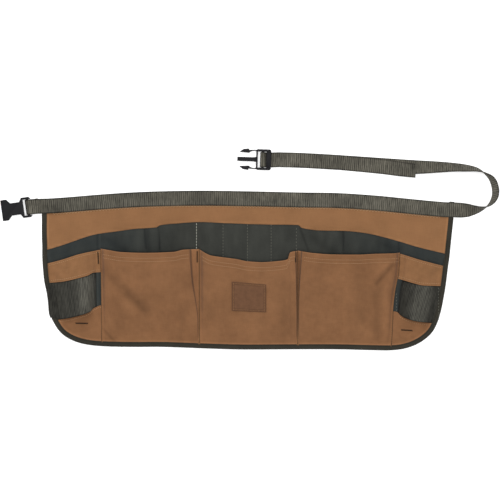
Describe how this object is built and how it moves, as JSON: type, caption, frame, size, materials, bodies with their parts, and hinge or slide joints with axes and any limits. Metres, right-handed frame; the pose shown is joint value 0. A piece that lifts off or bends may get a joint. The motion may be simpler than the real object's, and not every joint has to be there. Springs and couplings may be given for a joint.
{
  "type": "carpenter nail apron",
  "caption": "Carpenter's nail apron laid flat: brown canvas pouches on dark nylon, webbing hammer loops, and a webbing waist belt with a side-release buckle.",
  "frame": {"origin": "on the table under the apron, at the middle of its overall box", "axes": "+X along the belt to the picture's right, +Y from the hem up to the belt, +Z off the table through the pouches' fronts"},
  "size_m": [0.8488, 0.3426, 0.0255],
  "materials": {
    "canvas": "woven cotton duck, matt",
    "nylon": "woven nylon, slightly glossy",
    "webbing": "ribbed webbing",
    "tape": "woven binding tape, matt",
    "patch": "brown sewn label patch, bare",
    "plastic": "moulded acetal, satin"
  },
  "bodies": {
    "root": {"back_panel": "canvas", "edge_binding": "tape", "rear_pocket_panel": "nylon", "left_pouch": "canvas", "middle_pouch": "canvas", "right_pouch": "canvas", "left_side_band": "canvas", "left_hammer_loop": "webbing", "left_corner_panel": "canvas", "right_side_band": "canvas", "right_hammer_loop": "webbing", "right_corner_panel": "canvas", "label_patch": "patch", "waist_belt": "webbing", "free_strap": "webbing", "socket_buckle": "plastic", "plug_buckle": "plastic"}
  },
  "joints": []
}
